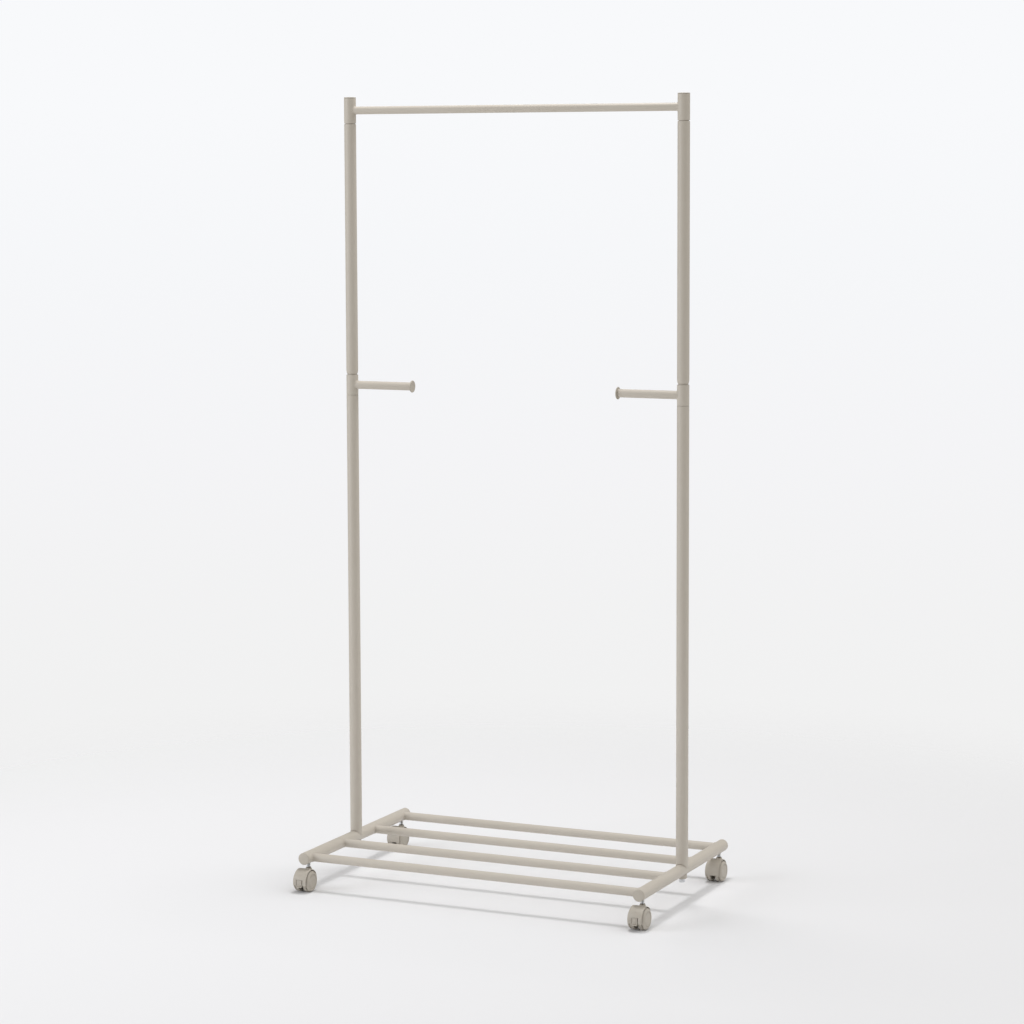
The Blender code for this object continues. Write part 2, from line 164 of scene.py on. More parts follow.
def arc(radius, height, size, start, end, steps=4):
    """Points of an arc in an outline, between two angles in degrees; 0 points outwards and 90 points up."""
    turns = [radians(start + (end - start) * i / steps) for i in range(steps + 1)]
    return [(radius + size * cos(t), height + size * sin(t)) for t in turns]


def flowing(points, steps=5):
    """A smooth curve through the points of an outline."""
    ends = [points[0]] + list(points) + [points[-1]]
    curve = []
    for i in range(1, len(ends) - 2):
        a, b, c, d = (Vector(p) for p in ends[i - 1:i + 3])
        for step in range(steps):
            t = step / steps
            curve.append(tuple(0.5 * (2 * b + (c - a) * t + (2 * a - 5 * b + 4 * c - d) * t * t
                                      + (3 * b - a - 3 * c + d) * t ** 3)))
    return curve + [tuple(points[-1])]


def tube_outline(radius, bore, low, high, edge=EDGE):
    """A tube's wall with rounded ends."""
    return (arc(radius - edge, high - edge, edge, 90, 0) + arc(radius - edge, low + edge, edge, 0, -90)
            + arc(bore + edge, low + edge, edge, -90, -180) + arc(bore + edge, high - edge, edge, 180, 90))


def rod_outline(radius, low, high, edge=EDGE):
    """A solid rod with rounded ends."""
    return ([(0, high)] + arc(radius - edge, high - edge, edge, 90, 0)
            + arc(radius - edge, low + edge, edge, 0, -90) + [(0, low)])


def box_mesh(low, high):
    shape = bmesh.new()
    bmesh.ops.create_cube(shape, size=1.0)
    size = [b - a for a, b in zip(low, high)]
    centre = [(a + b) / 2 for a, b in zip(low, high)]
    bmesh.ops.transform(shape, matrix=shift(*centre) @ Matrix.Diagonal((*size, 1)), verts=shape.verts)
    mesh = bpy.data.meshes.new("tool")
    shape.to_mesh(mesh)
    shape.free()
    return mesh


def carved(mesh, steps, bevel=0.0):
    """The mesh after Boolean steps (operation, tool mesh, placement), with a bevel on what is sharp."""
    scene = bpy.context.scene.collection
    body = bpy.data.objects.new("body", mesh)
    scene.objects.link(body)
    tools = []
    for operation, tool_mesh, placement in steps:
        tool = bpy.data.objects.new("tool", tool_mesh)
        tool.matrix_world = placement
        scene.objects.link(tool)
        tools.append(tool)
        step = body.modifiers.new("step", "BOOLEAN")
        step.operation = operation
        step.solver = "EXACT"
        step.object = tool
    if bevel:
        merge = body.modifiers.new("merge", "WELD")
        merge.merge_threshold = BEVEL_MERGE
        edge = body.modifiers.new("edge", "BEVEL")
        edge.width = bevel
        edge.segments = 2
        edge.limit_method = "ANGLE"
        edge.angle_limit = BEVEL_SHARP
        edge.use_clamp_overlap = True
    bpy.context.view_layer.update()
    result = bpy.data.meshes.new_from_object(body.evaluated_get(bpy.context.evaluated_depsgraph_get()))
    for tool in tools + [body]:
        bpy.data.objects.remove(tool, do_unlink=True)
    return polish(result, 2 * MERGE)


def piece(name, mesh, material, body, *nodes):
    """A finished piece that rides on a body and stands for the CAD nodes."""
    mesh.materials.append(MATERIALS[material])
    obj = bpy.data.objects.new(name, mesh)
    bpy.context.scene.collection.objects.link(obj)
    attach(obj, body)
    if nodes:
        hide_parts(*nodes)
    return obj


# ---- materials ----
MIX_FIRST = 6                    # the Mix node's colour sockets
MIX_SECOND = 7
MIX_RESULT = 2


class Nodes:
    """Short names for the node steps that the materials share. Coordinates are metres in the frame's axes."""

    def __init__(self, name, colour, roughness, metallic=0.0, specular=0.5):
        self.material = bpy.data.materials.new(name)
        self.material.use_nodes = True
        self.tree = self.material.node_tree
        self.shader = self.tree.nodes["Principled BSDF"]
        self.shader.inputs["Base Color"].default_value = (*colour, 1)
        self.shader.inputs["Roughness"].default_value = roughness
        self.shader.inputs["Metallic"].default_value = metallic
        self.shader.inputs["Specular IOR Level"].default_value = specular
        self.place = self.tree.nodes.new("ShaderNodeTexCoord").outputs["Object"]

    def link(self, output, node_input):
        self.tree.links.new(output, node_input)

    def noise(self, size, detail=2.0, stretch=(1, 1, 1)):
        """Noise whose features are about size metres across, stretched along the axes."""
        mapping = self.tree.nodes.new("ShaderNodeMapping")
        mapping.inputs["Scale"].default_value = [1 / (size * s) for s in stretch]
        self.link(self.place, mapping.inputs["Vector"])
        noise = self.tree.nodes.new("ShaderNodeTexNoise")
        noise.inputs["Scale"].default_value = 1.0
        noise.inputs["Detail"].default_value = detail
        self.link(mapping.outputs["Vector"], noise.inputs["Vector"])
        return noise.outputs["Fac"]

    def remap(self, value, low, high, new_low, new_high):
        step = self.tree.nodes.new("ShaderNodeMapRange")
        step.inputs["From Min"].default_value = low
        step.inputs["From Max"].default_value = high
        step.inputs["To Min"].default_value = new_low
        step.inputs["To Max"].default_value = new_high
        self.link(value, step.inputs["Value"])
        return step.outputs["Result"]

    def blend(self, factor, first, second):
        """A colour between two colours, or between an earlier colour output and a colour."""
        mix = self.tree.nodes.new("ShaderNodeMix")
        mix.data_type = "RGBA"
        self.link(factor, mix.inputs["Factor"])
        for socket, colour in ((mix.inputs[MIX_FIRST], first), (mix.inputs[MIX_SECOND], second)):
            if isinstance(colour, bpy.types.NodeSocket):
                self.link(colour, socket)
            else:
                socket.default_value = (*colour, 1)
        return mix.outputs[MIX_RESULT]

    def bump(self, height, depth, strength=1.0, under=None):
        step = self.tree.nodes.new("ShaderNodeBump")
        step.inputs["Distance"].default_value = depth
        step.inputs["Strength"].default_value = strength
        self.link(height, step.inputs["Height"])
        if under:
            self.link(under, step.inputs["Normal"])
        return step.outputs["Normal"]

    def finish(self, colour=None, roughness=None, normal=None):
        for output, name in ((colour, "Base Color"), (roughness, "Roughness"), (normal, "Normal")):
            if output:
                self.link(output, self.shader.inputs[name])
        return self.material


def tone(colour, factor, warm=0.0):
    """A colour made lighter or darker, and warmer."""
    red, green, blue = colour
    return (red * factor * (1 + warm), green * factor, blue * factor * (1 - warm))


COAT_COLOUR = (0.560, 0.514, 0.448)
CAP_COLOUR = (0.505, 0.462, 0.398)
CASTER_COLOUR = (0.475, 0.435, 0.374)
ZINC_COLOUR = (0.72, 0.73, 0.74)
# the stem collars' dark steel, tinted brown as a painted reflection of the hood
DARK_STEEL_WITH_HOOD_REFLECTION_COLOUR = (0.16, 0.12, 0.09)


def powder_coat():
    """Satin powder coat: faint orange peel, fine speckle and slow drifts of tone."""
    drift_size = 0.14
    speckle_size = 0.00035
    gloss_size = 0.0020
    peel_size = 0.0013
    peel_depth = 0.00006
    grain_size = 0.00022
    grain_depth = 0.00002
    coat = Nodes("powder_coat_look", COAT_COLOUR, 0.50)
    drift = coat.remap(coat.noise(drift_size, 3), 0.3, 0.7, 0, 1)
    base = coat.blend(drift, tone(COAT_COLOUR, 0.985, 0.004), tone(COAT_COLOUR, 1.015, -0.004))
    speckle = coat.remap(coat.noise(speckle_size, 1), 0.62, 0.78, 0, 0.22)
    colour = coat.blend(speckle, base, tone(COAT_COLOUR, 0.86))
    roughness = coat.remap(coat.noise(gloss_size, 3), 0.25, 0.75, 0.44, 0.56)
    peel = coat.bump(coat.noise(peel_size, 2), peel_depth, 0.5)
    grain = coat.bump(coat.noise(grain_size, 1), grain_depth, 0.35, peel)
    return coat.finish(colour, roughness, grain)


def moulded_plastic(name, base, grain_size, low, high):
    """Moulded plastic with a spark-eroded grain, faint flow marks and a little handling gloss.

    Its roughness lies between low and high.
    """
    flow_size = 0.012
    flow_stretch = (1, 1, 2.5)
    gloss_size = 0.004
    grain_depth = 0.00004
    plastic = Nodes(name, base, (low + high) / 2)
    flow = plastic.remap(plastic.noise(flow_size, 4, flow_stretch), 0.3, 0.7, 0, 1)
    colour = plastic.blend(flow, tone(base, 0.97, 0.006), tone(base, 1.03, -0.004))
    roughness = plastic.remap(plastic.noise(gloss_size, 3), 0.3, 0.7, low, high)
    grain = plastic.bump(plastic.noise(grain_size, 2), grain_depth, 0.5)
    return plastic.finish(colour, roughness, grain)


def zinc_plate():
    """Zinc plating: small crystals, fine drawing marks and a cool patchy sheen."""
    crystal_size = 0.0035
    gloss_size = 0.0008
    mark_size = 0.00025
    mark_stretch = (4, 4, 1)
    mark_depth = 0.00002
    zinc = Nodes("zinc_look", ZINC_COLOUR, 0.30, 1.0)
    patches = zinc.remap(zinc.noise(crystal_size, 4), 0.3, 0.7, 0, 1)
    colour = zinc.blend(patches, tone(ZINC_COLOUR, 0.86), tone(ZINC_COLOUR, 1.06, -0.01))
    roughness = zinc.remap(zinc.noise(gloss_size, 3), 0.3, 0.7, 0.22, 0.42)
    marks = zinc.bump(zinc.noise(mark_size, 2, mark_stretch), mark_depth, 0.4)
    return zinc.finish(colour, roughness, marks)


def dark_steel_with_painted_reflection():
    """Dark oiled steel; its brown tint and the lighter, browner patches are painted reflection of the beige
    hood below.
    """
    reflection_patch_size = 0.0022
    gloss_size = 0.0009
    grain_size = 0.0003
    grain_depth = 0.00002
    collar_steel = Nodes("dark_steel_look", DARK_STEEL_WITH_HOOD_REFLECTION_COLOUR, 0.42, 1.0)
    # painted reflection: random patches, lighter and browner, stand in for the hood seen in the collar
    painted_hood_reflection = collar_steel.remap(collar_steel.noise(reflection_patch_size, 4), 0.45, 0.7, 0, 1)
    colour = collar_steel.blend(painted_hood_reflection, tone(DARK_STEEL_WITH_HOOD_REFLECTION_COLOUR, 0.8), tone(DARK_STEEL_WITH_HOOD_REFLECTION_COLOUR, 1.7, 0.08))
    roughness = collar_steel.remap(collar_steel.noise(gloss_size, 3), 0.3, 0.7, 0.34, 0.52)
    grain = collar_steel.bump(collar_steel.noise(grain_size, 2), grain_depth, 0.5)
    return collar_steel.finish(colour, roughness, grain)


MATERIALS = {
    "powder_coat": powder_coat(),
    "cap_plastic": moulded_plastic("cap_plastic_look", CAP_COLOUR, 0.0005, 0.50, 0.62),
    "caster_plastic": moulded_plastic("caster_plastic_look", CASTER_COLOUR, 0.0007, 0.42, 0.54),
    "zinc": zinc_plate(),
    "dark_steel": dark_steel_with_painted_reflection(),
}


def dress_cad_nodes():
    """Gives every CAD node its slot's finished material; most of them are then replaced by finer pieces."""
    slots = {part["node"]: part["material_slot"] for part in frame["record"]["subparts"]}
    for name, obj in frame["nodes"].items():
        material = MATERIALS[slots[name]]
        if not obj.material_slots:
            obj.data.materials.append(material)
        for holder in obj.material_slots:
            holder.material = material
        obj.data.shade_smooth()
        obj.data.set_sharp_from_angle(angle=SHARP)


# ---- frame tubes ----
def saddle(offset, radius):
    """How far a point beside a round tube's middle line is from it, on the tube's surface."""
    return sqrt(max(radius * radius - offset * offset, 0))


def side_rails():
    """Each rail has a hole from below for each stem, and one through both walls for the post's bolt."""
    for side in SIDES:
        node = f"{side}_side_rail"
        low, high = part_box(node)
        outline = tube_outline(TUBE_R, TUBE_BORE_R, low.y, high.y)
        mesh = spun(node, outline, place=shift(middle(node).x, 0, RAIL_Z) @ ALONG_Y)
        holes = []
        for end in ENDS:
            stem = f"stem_{end}_{side}"
            hole = spun("tool", rod_outline(extent(stem).x / 2 + FIT, 0, RAIL_Z), COARSE, ring=False)
            holes.append(("DIFFERENCE", hole, shift(middle(stem).x, middle(stem).y)))
        bolt = f"{side}_post_bolt"
        hole = spun("tool", rod_outline(BOLT_BORE_R, 0, 2 * RAIL_Z), COARSE, ring=False)
        holes.append(("DIFFERENCE", hole, shift(middle(bolt).x, middle(bolt).y)))
        piece(f"{side}_rail_tube", carved(mesh, holes), "powder_coat", "frame", node)


def plug_outline(flange_r, depth, dome, bore, length, edge):
    """A tube's end plug along local +Z: a slightly domed flange on the tube's end, at 0, and its shank."""
    chamfer = 0.0002
    crown_steps = 8
    rim = depth - dome
    shank_r = bore - FIT
    tip_r = bore - 0.0011
    tip = 0.0008
    radii = [flange_r * i / crown_steps for i in range(crown_steps)]
    crown = [(r, rim + dome * (1 - (r / flange_r) ** 2)) for r in radii]
    flange = (arc(flange_r - edge, rim - edge, edge, 80, 0)
              + [(flange_r, FIT + chamfer), (flange_r - chamfer, FIT)])
    shank = [(shank_r, FIT), (shank_r, tip - length), (tip_r, -length), (0, -length)]
    return crown + flange + shank


def rail_caps():
    dome = 0.0010
    plug_length = 0.0150
    edge = 0.0011
    for end, side in CORNERS:
        node = f"rail_cap_{end}_{side}"
        low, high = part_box(node)
        rail_low, rail_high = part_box(f"{side}_side_rail")
        front = end == "front"
        face = rail_low.y if front else rail_high.y
        depth = face - low.y if front else high.y - face
        outline = plug_outline(TUBE_R, depth, dome, TUBE_BORE_R, plug_length, edge)
        turn = ALONG_MINUS_Y if front else ALONG_Y
        mesh = spun(node, outline, ring=False, place=shift(middle(node).x, face, RAIL_Z) @ turn)
        piece(f"rail_end_{end}_{side}", mesh, "cap_plastic", "frame", node)


def bead(name, radius, tube_r, place, upright):
    """A weld bead round the end of a bar that meets a tube at right angles, in the bar's own axes.

    Local +Z runs along the bar to the tube's middle line at height 0; the tube is upright if the bar's cope
    depends on local Y, and level if it depends on local X.
    """
    ripples = round(tau * radius / BEAD_RIPPLE_PITCH)
    around = ripples * BEAD_STEPS
    points = []
    for step in range(around):
        angle = tau * step / around
        outward = Vector((cos(angle), sin(angle), 0))
        offset = outward.y * radius if upright else outward.x * radius
        reach = saddle(offset, tube_r)
        aside = offset / tube_r
        back = -reach / tube_r
        tube_normal = Vector((0, aside, back)) if upright else Vector((aside, 0, back))
        corner = outward * radius + Vector((0, 0, -reach))
        lean = (outward + tube_normal).normalized()
        along = outward.cross(tube_normal).normalized()
        side = lean.cross(along)
        size = BEAD_R + BEAD_RIPPLE * cos(ripples * angle)
        centre = corner - lean * BEAD_SINK
        for turn in range(BEAD_SIDES):
            t = tau * turn / BEAD_SIDES
            points.append(place @ (centre + lean * size * cos(t) + side * size * sin(t)))
    faces = []
    for step in range(around):
        here = step * BEAD_SIDES
        there = (step + 1) % around * BEAD_SIDES
        for turn in range(BEAD_SIDES):
            nxt = (turn + 1) % BEAD_SIDES
            faces.append((here + turn, here + nxt, there + nxt, there + turn))
    return tidy_mesh(name, points, faces)


def bar_mesh(name, radius, y, z, upright):
    """A tube along X, coped at both ends: round the posts if upright is true, else round the side rails."""
    bore = radius - BAR_WALL

    def cope(r, angle):
        return saddle(r * (sin(angle) if upright else cos(angle)), TUBE_R + FIT)

    def outline(angle):
        outer = POST_X - cope(radius, angle)
        inner = POST_X - cope(bore, angle)
        return [(radius, outer), (radius, -outer), (bore, -inner), (bore, inner)]

    return spun(name, outline, place=shift(0, y, z) @ ALONG_X)


def weld(name, radius, x, y, z, sign, upright):
    """The bead between a bar's end and the tube at x; sign is the way from the bar to the tube."""
    turn = ALONG_X if sign > 0 else ALONG_MINUS_X
    return piece(name, bead(name, radius, TUBE_R, shift(x, y, z) @ turn, upright), "powder_coat", "frame")


def shelf_bars():
    number = 1
    while f"shelf_bar_{number}" in frame["nodes"]:
        node = f"shelf_bar_{number}"
        y = middle(node).y
        mesh = bar_mesh(node, BAR_R, y, RAIL_Z, upright=False)
        piece(f"shelf_tube_{number}", mesh, "powder_coat", "frame", node)
        for side, sign in SIDES.items():
            weld(f"shelf_weld_{number}_{side}", BAR_R, sign * POST_X, y, RAIL_Z, sign, upright=False)
        number += 1


def hanging_rail():
    mesh = bar_mesh("top_rail", HANG_R, POST_Y, HANG_Z, upright=True)
    piece("hanging_rail_tube", mesh, "powder_coat", "frame", "top_rail")
    for side, sign in SIDES.items():
        weld(f"hanging_weld_{side}", HANG_R, sign * POST_X, POST_Y, HANG_Z, sign, upright=True)


def hook_arms():
    """Each arm is coped round its sleeve, and runs from it towards the other arm."""
    for side, sign in SIDES.items():
        node = f"{side}_hook_arm"
        low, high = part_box(node)
        tip = low.x if sign > 0 else high.x
        length = abs(sign * POST_X - tip)

        def outline(angle):
            outer_cope = saddle(ARM_R * sin(angle), TUBE_R + FIT)
            inner_cope = saddle(ARM_BORE_R * sin(angle), TUBE_R + FIT)
            return ([(ARM_R, outer_cope)] + arc(ARM_R - EDGE, length - EDGE, EDGE, 0, 90)
                    + [(ARM_BORE_R, length), (ARM_BORE_R, inner_cope)])

        turn = ALONG_MINUS_X if sign > 0 else ALONG_X
        mesh = spun(node, outline, place=shift(sign * POST_X, POST_Y, ARM_Z) @ turn)
        piece(f"{side}_arm_tube", mesh, "powder_coat", "frame", node)
        weld(f"{side}_arm_weld", ARM_R, sign * POST_X, POST_Y, ARM_Z, sign, upright=True)
        hook_end(side, sign, tip, turn)


def hook_end(side, sign, tip, turn):
    """The arm's end disc: a rounded rim round a shallow dish, and a plug in the arm."""
    node = f"{side}_hook_end"
    low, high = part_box(node)
    disc_r = extent(node).z / 2
    depth = high.x - tip if sign < 0 else tip - low.x
    dips = [(0, 0.0012), (0.50, 0.0011), (0.72, 0.0005), (0.84, 0), (0.94, 0.0003), (1, 0.0012)]
    dish = flowing([(disc_r * share, depth - dip) for share, dip in dips], 4)
    back_edge = 0.0006
    plug_length = 0.0120
    plug_r = ARM_BORE_R - FIT
    plug_tip_r = ARM_BORE_R - 0.0012
    back = arc(disc_r - back_edge, FIT + back_edge, back_edge, 0, -90)
    plug = [(plug_r, FIT), (plug_r, 0.0008 - plug_length), (plug_tip_r, -plug_length), (0, -plug_length)]
    mesh = spun(node, dish + back + plug, ring=False, place=shift(tip, POST_Y, ARM_Z) @ turn)
    piece(f"{side}_arm_disc", mesh, "cap_plastic", "frame", node)


# ---- posts ----
def lower_posts():
    """The foot is coped over the side rail with a soft edge; the drawn-in head goes into the hook sleeve."""
    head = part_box("right_lower_post")[1].z
    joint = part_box("right_hook_sleeve")[0].z - 0.0004
    shoulder = 0.0007
    soft = 0.0010
    flare_r = TUBE_R + 0.0003
    saddle_r = TUBE_R + 0.0005

    def outline(angle):
        foot = RAIL_Z + saddle(flare_r * cos(angle), saddle_r)
        inner_foot = RAIL_Z + saddle(TUBE_BORE_R * cos(angle), saddle_r)
        neck = [(NECK_R, head), (NECK_R, joint + 0.0002)]
        flare = flowing([(TUBE_R, foot + 0.0080), (TUBE_R + 0.0001, foot + 0.0045), (flare_r, foot + 0.0022)])
        inside = [(TUBE_BORE_R, inner_foot), (TUBE_BORE_R, joint - 0.0030), (NECK_BORE_R, joint),
                  (NECK_BORE_R, head)]
        return (neck + arc(TUBE_R - shoulder, joint - shoulder, shoulder, 90, 0) + flare
                + arc(flare_r - soft, foot + soft, soft, 0, -80, 5) + inside)

    for side, sign in SIDES.items():
        node = f"{side}_lower_post"
        mesh = spun(node, outline, place=shift(sign * POST_X, POST_Y))
        piece(f"{side}_lower_tube", mesh, "powder_coat", "frame", node)


def upper_posts():
    """The foot is swaged to a neck that slides into the hook sleeve; the head slides into the top sleeve."""
    low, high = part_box("right_upper_post")
    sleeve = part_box("right_hook_sleeve")[1].z
    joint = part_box("right_top_sleeve")[0].z - 0.0012
    full = sleeve + 0.0095                           # above this the tube has its full width
    shoulder = 0.0014
    waist_r = NECK_R - 0.0010
    waist_bore_r = waist_r - TUBE_WALL
    head = [(NECK_R, high.z), (NECK_R, joint + 0.0016), (waist_r, joint + 0.0010), (waist_r, joint)]
    swage = flowing([(TUBE_R, full + 0.0020), (TUBE_R - 0.0001, full), (TUBE_R - 0.0006, full - 0.0040),
                     (TUBE_R - 0.0012, full - 0.0066)])
    neck = [(waist_r + 0.0004, sleeve + 0.0022), (waist_r, sleeve + 0.0018), (waist_r, sleeve - 0.0030),
            (NECK_R, sleeve - 0.0040), (NECK_R, low.z)]
    inside = [(waist_bore_r, low.z), (waist_bore_r, sleeve + 0.0020), (TUBE_BORE_R, full),
              (TUBE_BORE_R, joint - 0.0030), (waist_bore_r, joint), (waist_bore_r, high.z)]
    outline = head + arc(TUBE_R - shoulder, joint - shoulder, shoulder, 90, 0, 5) + swage + neck + inside
    for side, sign in SIDES.items():
        node = f"{side}_upper_post"
        mesh = spun(node, outline, place=shift(sign * POST_X, POST_Y))
        piece(f"{side}_upper_tube", mesh, "powder_coat", "frame", node)


def sleeves():
    edge = 0.00045
    for side, sign in SIDES.items():
        for which in ("hook", "top"):
            node = f"{side}_{which}_sleeve"
            low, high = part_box(node)
            outline = tube_outline(TUBE_R, TUBE_BORE_R, low.z, high.z, edge)
            mesh = spun(node, outline, place=shift(sign * POST_X, POST_Y))
            piece(f"{side}_{which}_collar", mesh, "powder_coat", "frame", node)


def post_caps():
    dome = 0.0005
    plug_length = 0.0120
    edge = 0.0006
    for side, sign in SIDES.items():
        node = f"{side}_post_cap"
        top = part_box(node)[1].z
        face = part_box(f"{side}_top_sleeve")[1].z
        outline = plug_outline(TUBE_R, top - face, dome, TUBE_BORE_R, plug_length, edge)
        mesh = spun(node, outline, ring=False, place=shift(sign * POST_X, POST_Y, face))
        piece(f"{side}_post_top", mesh, "cap_plastic", "frame", node)


def post_feet():
    """Under each rail: the coped spacer, the washer and the socket-head bolt that pulls the post down."""
    spacer_edge = 0.0007
    for side, sign in SIDES.items():
        base = shift(sign * POST_X, POST_Y)
        node = f"{side}_foot_spacer"
        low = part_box(node)[0].z
        spacer_r = extent(node).x / 2

        def outline(angle):
            top = RAIL_Z - saddle(spacer_r * cos(angle), TUBE_R + FIT)
            bore_top = RAIL_Z - saddle(BOLT_BORE_R * cos(angle), TUBE_R + FIT)
            return ([(spacer_r, top)] + arc(spacer_r - spacer_edge, low + spacer_edge, spacer_edge, 0, -90)
                    + [(BOLT_BORE_R, low), (BOLT_BORE_R, bore_top)])

        piece(f"{side}_spacer", spun(node, outline, place=base), "cap_plastic", "frame", node)
        node = f"{side}_bolt_washer"
        washer_low, washer_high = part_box(node)
        ring = tube_outline(extent(node).x / 2, BOLT_BORE_R, washer_low.z, washer_high.z)
        piece(f"{side}_washer", spun(node, ring, place=base), "zinc", "frame", node)
        post_bolt(side, base, washer_low.z)


def post_bolt(side, base, washer_low):
    """A round head with soft edges and a hexagon socket, and a threaded shank up into the post's nut."""
    node = f"{side}_post_bolt"
    low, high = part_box(node)
    head_r = extent(node).x / 2
    head_top = washer_low - FIT
    lower_edge = 0.0009
    head = ([(0, head_top)] + arc(head_r - EDGE, head_top - EDGE, EDGE, 90, 0)
            + arc(head_r - lower_edge, low.z + lower_edge, lower_edge, 0, -90, 6) + [(0, low.z)])
    thread_r = 0.0030
    pitch = 0.0010
    thread_depth = 0.00050
    shank = threaded("bolt", thread_r, pitch, thread_depth, head_top - 0.0002, high.z)
    socket_r = 0.0030
    below = low.z - 0.0010
    socket_outline = [(0, low.z + 0.0026), (socket_r, low.z + 0.0020), (socket_r, below), (0, below)]
    socket = spun("tool", socket_outline, 6, ring=False)
    steps = [("DIFFERENCE", socket, Matrix()), ("UNION", shank, Matrix())]
    mesh = carved(spun("head", head, ring=False), steps)
    mesh.transform(base)
    piece(f"{side}_bolt", mesh, "zinc", "frame", node)


def threaded(name, radius, pitch, depth, low, high):
    """A closed rod along local Z with a right-hand thread that fades out at both ends."""
    sides = 36
    rows_per_turn = 10
    tip_length = 0.0006
    tip_taper = 0.0004
    rows = max(int((high - low) / pitch * rows_per_turn), 2)
    points = [Vector((0, 0, low))]
    for row in range(rows + 1):
        z = low + (high - low) * row / rows
        fade = min(1.0, (z - low) / pitch, (high - z) / pitch)
        taper = tip_taper * max(0.0, 1 - (high - z) / tip_length)
        for step in range(sides):
            phase = (z / pitch - step / sides) % 1.0
            groove = abs(2 * phase - 1)
            r = radius - depth * fade * (1 - groove) - taper
            points.append(Vector((r * cos(tau * step / sides), r * sin(tau * step / sides), z)))
    points.append(Vector((0, 0, high)))
    faces = []
    for row in range(rows):
        for step in range(sides):
            nxt = (step + 1) % sides
            a = 1 + row * sides
            faces.append((a + step, a + nxt, a + sides + nxt, a + sides + step))
    top = 1 + rows * sides
    for step in range(sides):
        nxt = (step + 1) % sides
        faces.append((0, 1 + nxt, 1 + step))
        faces.append((len(points) - 1, top + step, top + nxt))
    return tidy_mesh(name, points, faces)


# ---- casters ----
def stems():
    """The zinc stem is threaded where it goes up into the rail, above the dark collar on the hood's boss."""
    pitch = 0.00125
    thread_depth = 0.00065
    pin_r = 0.0032
    pin_edge = 0.0005
    neck_edge = 0.0004
    for end, side in CORNERS:
        node = f"stem_{end}_{side}"
        low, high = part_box(node)
        stem_r = extent(node).x / 2
        place = shift(middle(node).x, middle(node).y)
        collar_node = f"stem_collar_{end}_{side}"
        collar_low, collar_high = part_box(collar_node)
        thread = threaded("thread", stem_r, pitch, thread_depth, collar_low.z + 0.0002, high.z)
        pin = spun("pin", rod_outline(pin_r, low.z, collar_low.z + 0.0006, pin_edge), COARSE, ring=False)
        mesh = carved(thread, [("UNION", pin, Matrix())])
        mesh.transform(place)
        piece(f"stem_thread_{end}_{side}", mesh, "zinc", "frame", node)
        collar_r = extent(collar_node).x / 2
        collar_bore = stem_r + FIT
        neck_r = collar_r - 0.0009
        step = collar_low.z + 0.0018
        outline = (arc(neck_r - neck_edge, collar_high.z - neck_edge, neck_edge, 90, 0)
                   + [(neck_r, step + 0.0002)] + arc(collar_r - EDGE, step - EDGE, EDGE, 90, 0)
                   + arc(collar_r - EDGE, collar_low.z + EDGE, EDGE, 0, -90)
                   + [(collar_bore, collar_low.z), (collar_bore, collar_high.z)])
        mesh = spun(collar_node, outline, 48, place=place)
        piece(f"stem_ring_{end}_{side}", mesh, "dark_steel", "frame", collar_node)


def wheel_outline(face, back):
    """Half of the twin wheel, local +Z outwards.

    A dished hub disc lies in a rounded ring; behind them come the tread and the hollow back.
    """
    def behind_face(*points):
        return [(r, face - z) for r, z in points]

    def before_back(*points):
        return [(r, back + z) for r, z in points]

    tread_edge = 0.0010
    inner_edge = 0.0009
    hub = behind_face((0, 0.0010), (0.0080, 0.0009), (0.0140, 0.0006))
    groove = behind_face((0.0144, 0.0017), (0.0150, 0.0017))
    ring = flowing(behind_face((0.0153, 0.0006), (0.0160, 0.0001), (0.0172, 0.0002), (0.0190, 0.0009),
                               (0.0205, 0.0022), (0.0213, 0.0034), (0.0217, 0.0046)))
    channel = behind_face((0.0214, 0.0050), (0.0200, 0.0052), (0.0198, 0.0066), (0.0214, 0.0070))
    tread = (arc(WHEEL_R - tread_edge, face - 0.0080, tread_edge, 80, 0)
             + arc(WHEEL_R - inner_edge, back + inner_edge, inner_edge, 0, -90, 5))
    hollow = before_back((0.0192, 0), (0.0188, 0.0006), (0.0184, 0.0060), (0.0176, 0.0068), (0.0088, 0.0068),
                         (0.0080, 0.0060), (0.0075, -FIT))
    bore = [(AXLE_BORE_R, back - FIT), (AXLE_BORE_R, face - 0.0026), (0, face - 0.0026)]
    return hub + groove + ring + channel + tread + hollow + bore


def wheels():
    for end, side in CORNERS:
        for which, turn in (("left", ALONG_MINUS_X), ("right", ALONG_X)):
            node = f"{which}_wheel_{end}_{side}"
            low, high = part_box(node)
            axle = middle(node)
            centre_x = middle(f"hood_{end}_{side}").x
            face = centre_x - low.x if which == "left" else high.x - centre_x
            inner = centre_x - high.x if which == "left" else low.x - centre_x
            place = shift(centre_x, axle.y, axle.z) @ turn
            mesh = spun(node, wheel_outline(face, inner + FIT), FINE, ring=False, place=place)
            piece(f"{which}_disc_{end}_{side}", mesh, "caster_plastic", node, node)


